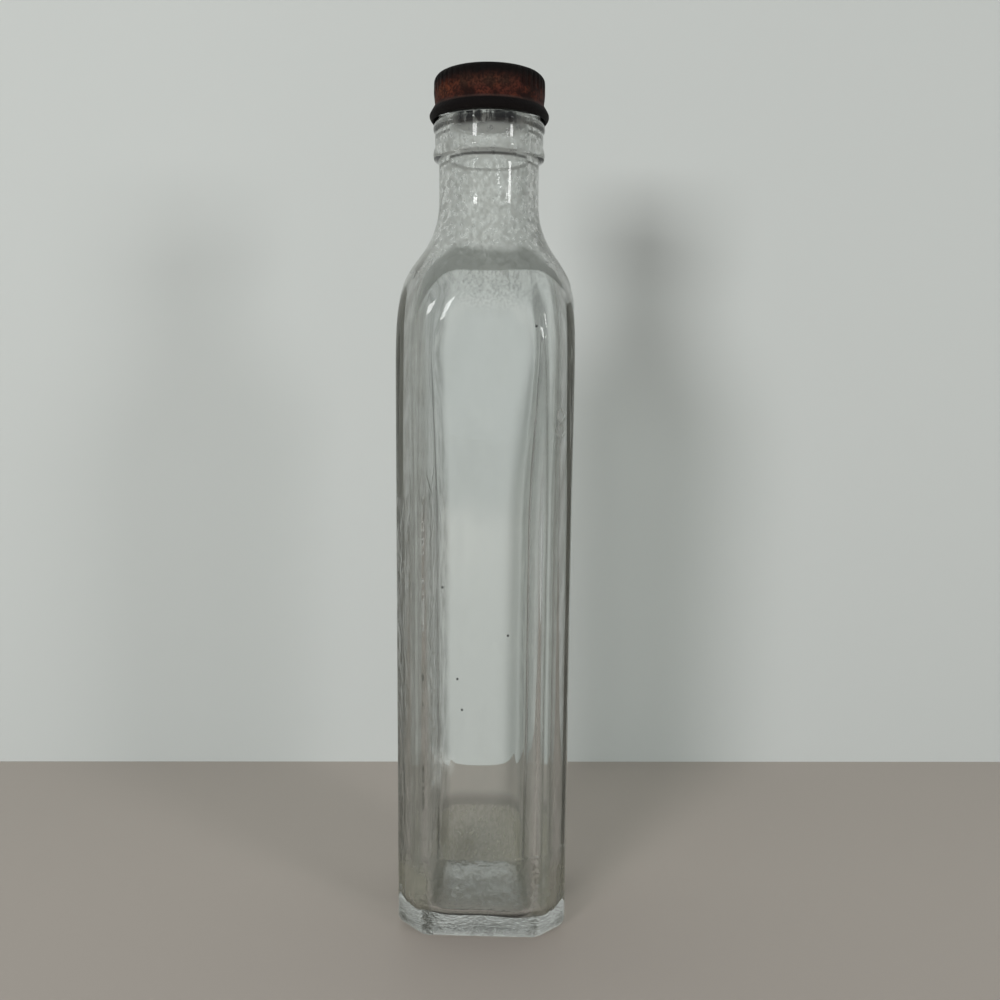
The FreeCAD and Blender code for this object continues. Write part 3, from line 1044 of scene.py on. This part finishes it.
# a black blotchy band on the front of the bore, just under the cap
BLOTCH_BOX = ((-0.0072, 0.0068), (-0.02, -0.002), (0.2110, 0.2134))
BLOTCH_SOFT, BLOTCH_WAVES, BLOTCH_CUT = 0.0012, 0.004, (0.34, 0.50)
COLLAR_LINE, COLLAR_SOFT = ((-0.0088, 0.0088), (-0.02, -0.002), (0.2017, 0.2026)), 0.0004
# painted shade: a dark line in the inner corner where the floor meets the front wall
FLOOR_SHADE_LINE, FLOOR_SHADE_SOFT = ((-0.03, -0.0166), (0.0030, 0.0056)), 0.0005
COLLAR_SHARE, FLOOR_SHADE_SHARE, BLACK_AMOUNT = 0.75, 0.55, 0.95
SPECKS = (
    (-0.0104, 0.0926), (0.0063, 0.0804), (-0.0065, 0.0689), (-0.0053, 0.0608), (0.0125, 0.1580),
)
SPECK_WIDE, SPECK_TALL, SPECK_SOFT, SPECK_AMOUNT = 0.0005, 0.0006, 0.0001, 0.85


def front_layers(tree, axes, clouds, front):
    """The patch, the smear, black blotches and lines, one of them painted shade, and the specks."""
    x, y, z = axes
    patch = box_mask(tree, axes, PATCH_BOX, PATCH_SOFT)
    patch = product(tree, patch, clouds["speckle"][0], PATCH_AMOUNT)
    smear = box_mask(tree, axes, SMEAR_BOX, SMEAR_SOFT)
    smear = product(tree, smear, clouds["smudge"][0], SMEAR_AMOUNT)
    uneven = math_node(tree, "ADD", z, product(tree, clouds["wave"][1], BLOTCH_WAVES))
    black = box_mask(tree, (x, y, uneven), BLOTCH_BOX, BLOTCH_SOFT)
    black = product(tree, black, step_node(tree, clouds["mottle"][1], *BLOTCH_CUT))
    collar = product(tree, box_mask(tree, axes, COLLAR_LINE, COLLAR_SOFT), COLLAR_SHARE)
    # painted shade in the inner corner where the floor meets the front wall
    line = product(tree, box_mask(tree, (y, z), FLOOR_SHADE_LINE, FLOOR_SHADE_SOFT), FLOOR_SHADE_SHARE)
    for mask in (collar, line):
        black = math_node(tree, "MAXIMUM", black, mask)
    specks = 0.0
    for left, low in SPECKS:
        spot = ((left, left + SPECK_WIDE), (low, low + SPECK_TALL))
        specks = math_node(tree, "MAXIMUM", specks, box_mask(tree, (x, z), spot, SPECK_SOFT))
    return [
        (DUST_DARK, patch),
        (DUST_PALE, smear),
        (BLACK_DUST_AND_SHADE, product(tree, black, BLACK_AMOUNT)),
        (BLACK_DUST_AND_SHADE, product(tree, specks, front, SPECK_AMOUNT)),
    ]


# %% [markdown]
# ## Painting the layers over each other
# Each layer covers a share of what lies under it, as large as its mask. The film's alpha is the
# share covered by any layer, and its colour is the mix of the covering ones. The result is a
# node group that gives only a colour and an alpha; the shader stays in the material.

# %% The material of dust and painted shade
FRONT_FADE = (-0.009, -0.012)
LEAST_ALPHA = 0.001


def painted(tree, layers):
    """Colour and alpha of the (colour, mask) layers, the first one lowest."""
    colour, alpha = layers[0]
    for paint, mask in layers[1:]:
        bare = product(
            tree, math_node(tree, "SUBTRACT", 1.0, alpha), math_node(tree, "SUBTRACT", 1.0, mask)
        )
        alpha = math_node(tree, "SUBTRACT", 1.0, bare)
        share = math_node(tree, "DIVIDE", mask, math_node(tree, "MAXIMUM", alpha, LEAST_ALPHA))
        colour = mix_colours(tree, share, colour, paint)
    return colour, alpha


def build_dust_and_shade_group():
    """Colour and alpha of the film, from the place on the bottle."""
    outputs = [("Colour", "NodeSocketColor"), ("Alpha", "NodeSocketFloat")]
    group, _, out = new_group("inner_dust_and_shade_layers", [], outputs)
    axes, clouds = object_axes(group), dust_clouds(group)
    front = step_node(group, axes[1], *FRONT_FADE)
    layers = []
    for part in (side_dust_and_shade_layers, neck_layers, floor_layers):
        layers += part(group, axes, clouds)
    for part in (painted_shade_band_layer, front_layers):
        layers += part(group, axes, clouds, front)
    for label, socket in zip(("Colour", "Alpha"), painted(group, layers)):
        group.links.new(socket, out.inputs[label])
    print(len(layers), "layers of dust,", len(group.nodes), "nodes")
    return group


def build_dust_and_shade():
    material, tree = new_material("grey_dust_and_shade_film")
    layers = place_group(tree, build_dust_and_shade_group()).outputs
    shader = add_node(tree, "ShaderNodeBsdfPrincipled", {
        "Base Color": layers["Colour"], "Alpha": layers["Alpha"],
        "Metallic": 0.0, "Roughness": 1.0, "Specular IOR Level": 0.0,
    })
    show_surface(tree, shader.outputs["BSDF"])
    return material


inner_dust_and_shade.data.materials.append(build_dust_and_shade())

# %% [markdown]
# ## Rusted metal
# The cap was painted or lacquered tin, and rust has taken nearly all of it. Two browns lie in
# patches, with a duller olive band across the front and orange on the left and in blooms. Fine
# dark grain and faint upright streaks cover them. The top edge is almost black. The bead is dark
# rust with painted shade: it is painted black because it faces down, away from the light. The
# upper lip of the bead is a thin paler line. The grain also gives the bump.

# %% Values of the rust
RUST_DARK = (0.014, 0.005, 0.004, 1)
RUST_BROWN = (0.068, 0.019, 0.013, 1)
RUST_OLIVE = (0.085, 0.045, 0.028, 1)
RUST_ORANGE = (0.16, 0.045, 0.016, 1)
# near black: the top edge, and painted shade on the bead
BLACK_RUST_AND_SHADE = (0.004, 0.003, 0.003, 1)
LIP_COLOUR = (0.050, 0.032, 0.028, 1)
RUST_CLOUDS = {
    "patches": {"Scale": 260.0, "Detail": 7.0, "From": 0.42, "To": 0.58},
    "blooms": {"Scale": 520.0, "Detail": 6.0, "From": 0.5, "To": 0.66},
    "streaks": {"Scale": 900.0, "Detail": 3.0, "From": 0.4, "To": 0.65, "Stretch": (1, 1, 0.15)},
    "grain": {"Scale": 1700.0, "Detail": 5.0, "From": 0.40, "To": 0.62},
}
OLIVE_BOX, OLIVE_SOFT, OLIVE_AMOUNT = ((-0.0075, 0.0065), (0.2178, 0.2196)), 0.0022, 0.6
ORANGE_BOX, ORANGE_SOFT, BLOOM_SHARE = ((-0.0135, -0.0085), (0.2158, 0.2195)), 0.0018, 0.25
STREAK_AMOUNT, GRAIN_AMOUNT = 0.2, 0.75
TOP_EDGE_FADE, TOP_EDGE_WAVES = (0.2200, 0.2238), 0.0045
BEAD_SHADE_FADE = (0.2147, 0.2142)
LIP_RANGE, LIP_SOFT = (0.2143, 0.2149), 0.0002
GRAIN_DEPTH = 0.0003

# %% The rust material, with painted shade on the bead
def rust_and_shade_layers(tree, clouds):
    """The (colour, mask) layers over the darkest rust, with painted shade on the bead; the first
    lowest.
    """
    x, y, z = object_axes(tree)
    mask = {name: node.outputs["Mask"] for name, node in clouds.items()}
    plain = {name: node.outputs["Noise"] for name, node in clouds.items()}
    olive = product(tree, box_mask(tree, (x, z), OLIVE_BOX, OLIVE_SOFT), OLIVE_AMOUNT)
    blooms = product(tree, mask["blooms"], BLOOM_SHARE)
    orange = math_node(tree, "MAXIMUM", box_mask(tree, (x, z), ORANGE_BOX, ORANGE_SOFT), blooms)
    uneven = math_node(tree, "ADD", z, product(tree, plain["patches"], TOP_EDGE_WAVES))
    lip = product(tree, box_mask(tree, (z,), (LIP_RANGE,), LIP_SOFT), plain["patches"])
    return (
        (RUST_BROWN, mask["patches"]),
        (RUST_OLIVE, olive),
        (RUST_ORANGE, product(tree, orange, plain["blooms"])),
        (RUST_DARK, product(tree, mask["streaks"], STREAK_AMOUNT)),
        (RUST_DARK, product(tree, mask["grain"], GRAIN_AMOUNT)),
        (BLACK_RUST_AND_SHADE, step_node(tree, uneven, *TOP_EDGE_FADE)),
        # painted shade: the bead faces down, away from the light, and is painted black
        (BLACK_RUST_AND_SHADE, step_node(tree, z, *BEAD_SHADE_FADE)),
        (LIP_COLOUR, lip),
    )


def build_rust_and_shade():
    material, tree = new_material("rusted_tin_and_shade")
    clouds = {name: place_group(tree, cloud_mask, **values) for name, values in RUST_CLOUDS.items()}
    colour = RUST_DARK
    for paint, mask in rust_and_shade_layers(tree, clouds):
        colour = mix_colours(tree, mask, colour, paint)
    grain = clouds["grain"].outputs["Noise"]
    shader = add_node(tree, "ShaderNodeBsdfPrincipled", {
        "Base Color": colour, "Metallic": 0.0, "Roughness": 0.8, "Specular IOR Level": 0.25,
        "Normal": bump_normal(tree, grain, 0.7, GRAIN_DEPTH),
    })
    show_surface(tree, shader.outputs["BSDF"])
    return material


cap_metal.data.materials.append(build_rust_and_shade())

# %% [markdown]
# ## The stage: floor and backdrop
# Clear glass shows what stands around it, so the stage matters as much as the material. A plain
# pale floor meets a plain pale wall a hand's breadth behind the bottle.

# %% Floor and backdrop
WALL_BEHIND = 0.1036
WALL_TURN = 3.0
FLOOR_HALF, BACKDROP_HALF = 2.5, 0.75
AIR_GAP = 0.00004
FLOOR_ROUGHNESS, WALL_ROUGHNESS = 0.55, 0.9
FLOOR_COLOUR = (0.50, 0.45, 0.40, 1)
WALL_COLOUR = (0.60, 0.63, 0.61, 1)


def plain_material(name, colour, roughness):
    """A plain paint; from behind it is clear, so the backdrop never stands in the way."""
    material, tree = new_material(name)
    inputs = {"Base Color": colour, "Roughness": roughness}
    shader = add_node(tree, "ShaderNodeBsdfPrincipled", inputs)
    behind = add_node(tree, "ShaderNodeNewGeometry").outputs["Backfacing"]
    show_surface(tree, mix_shaders(
        tree, behind, shader, add_node(tree, "ShaderNodeBsdfTransparent"),
    ))
    return material


def build_plane(name, half, turn, place, colour, roughness):
    mesh = bmesh.new()
    bmesh.ops.create_grid(mesh, x_segments=1, y_segments=1, size=half)
    bmesh.ops.transform(mesh, matrix=Matrix.Translation(place) @ turn, verts=mesh.verts)
    data = bpy.data.meshes.new(name)
    mesh.to_mesh(data)
    mesh.free()
    data.materials.append(plain_material(name + "_paint", colour, roughness))
    plane = add_object(name, data)


build_plane(
    "floor", FLOOR_HALF, Matrix.Identity(4),
    Vector((0, 0, cad_low.z - AIR_GAP)), FLOOR_COLOUR, FLOOR_ROUGHNESS,
)
wall_turn = Matrix.Rotation(math.radians(WALL_TURN), 4, "Z")
build_plane(
    "backdrop", BACKDROP_HALF, wall_turn @ Matrix.Rotation(math.pi / 2, 4, "X"),
    Vector((0, WALL_BEHIND, cad_low.z + BACKDROP_HALF)), WALL_COLOUR, WALL_ROUGHNESS,
)

# %% [markdown]
# ## Light
# Two soft lamps stand in front, one to each side: the left one is the stronger, and the shadows
# fall on the backdrop. Glass would mirror such large lamps as white blots, so they are hidden
# from mirror rays, and two small lamps give the glints instead. The world is pale where the
# camera sees it, about a third as bright where glass mirrors or bends it, and dim as a fill
# light.

# %% Lamps and world
LAMPS = (
    ("lamp_left", (-27, 0.9, 0.330), (0.24, 0.24), 5.0, False),
    ("lamp_right", (50, 0.9, 0.330), (0.18, 0.24), 2.2, False),
    ("glint_left", (-28, 0.9, 0.470), (0.13, 0.12), 0.5, True),
    ("glint_right", (49, 0.9, 0.420), (0.09, 0.13), 0.4, True),
)
AIM = Vector((0, 0, 0.11))


def place_lamp(name, stand, size, watts, mirrored):
    """An area lamp; stand is its azimuth, its distance, and its height above the floor."""
    azimuth, away, height = stand
    lamp = bpy.data.lights.new(name, "AREA")
    lamp.shape = "RECTANGLE"
    lamp.size, lamp.size_y = size
    lamp.energy = watts
    holder = add_object(name, lamp)
    side = math.radians(azimuth)
    spot = Vector((math.sin(side) * away, -math.cos(side) * away, height))
    turn = (spot - AIM).to_track_quat("Z", "Y").to_matrix().to_4x4()
    holder.matrix_world = Matrix.Translation(spot) @ turn
    holder.visible_glossy = mirrored
    holder.visible_transmission = mirrored


for row in LAMPS:
    place_lamp(*row)

WORLD_SEEN = (0.60, 0.62, 0.61, 1)
WORLD_IN_GLASS = (0.22, 0.23, 0.23, 1)
WORLD_FILL = (0.150, 0.155, 0.160, 1)


def build_world():
    world = bpy.data.worlds.new("studio")
    world.use_nodes = True
    tree = world.node_tree
    tree.nodes.clear()
    rays = add_node(tree, "ShaderNodeLightPath").outputs
    colour = mix_colours(tree, rays["Is Diffuse Ray"], WORLD_IN_GLASS, WORLD_FILL)
    colour = mix_colours(tree, rays["Is Camera Ray"], colour, WORLD_SEEN)
    background = add_node(tree, "ShaderNodeBackground", {"Color": colour, "Strength": 1.0})
    add_node(tree, "ShaderNodeOutputWorld", {"Surface": background.outputs["Background"]})
    return world


bpy.context.scene.world = build_world()
print(len(LAMPS), "lamps")

# %% [markdown]
# ## Camera
# The camera stands close, a little above the middle of the bottle and a little to the right,
# and looks slightly down.

# %% Set the camera
CAMERA_AWAY = 0.2695
CAMERA_HEIGHT = 0.1428
CAMERA_AZIMUTH = 2.5
CAMERA_PAN = -0.77
CAMERA_PITCH = -6.3
CAMERA_ROLL = 0.5
CAMERA_LENS = 36.04

camera_data = bpy.data.cameras.new("camera")
camera_data.lens = CAMERA_LENS
camera = add_object("camera", camera_data)
azimuth = math.radians(CAMERA_AZIMUTH)
turn = Matrix.Rotation(azimuth + math.radians(CAMERA_PAN), 4, "Z")
turn @= Matrix.Rotation(math.radians(90 + CAMERA_PITCH), 4, "X")
turn @= Matrix.Rotation(math.radians(CAMERA_ROLL), 4, "Z")
place = Vector((math.sin(azimuth) * CAMERA_AWAY, -math.cos(azimuth) * CAMERA_AWAY, CAMERA_HEIGHT))
camera.matrix_world = Matrix.Translation(place) @ turn
bpy.context.scene.camera = camera
bpy.context.scene.view_settings.view_transform = "Standard"
